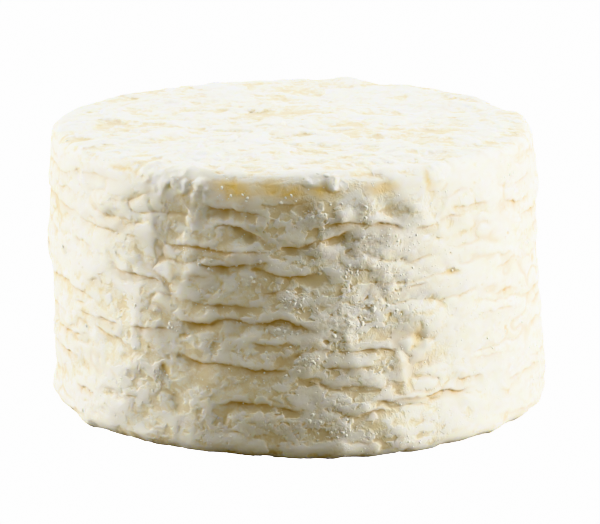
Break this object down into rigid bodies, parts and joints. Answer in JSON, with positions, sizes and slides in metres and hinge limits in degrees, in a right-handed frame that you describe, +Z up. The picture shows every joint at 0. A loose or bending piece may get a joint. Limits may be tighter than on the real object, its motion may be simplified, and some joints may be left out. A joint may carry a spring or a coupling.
{
  "type": "curd cheese wheel",
  "caption": "Whole round wheel of young ivory-white curd cheese with a cloth-creased, crumbly side and a flat base to stand on.",
  "frame": {"origin": "on the flat base, under the middle of the wheel's box", "axes": "+Z up through the wheel; -Y is the front, the side that faces the viewer; +X to the viewer's right"},
  "size_m": [0.1316, 0.1315, 0.0748],
  "materials": {
    "curd_rind": "matt, moist ivory curd rind, crumbly, with smooth cream patches"
  },
  "bodies": {
    "root": {"cheese": "curd_rind"}
  },
  "joints": []
}
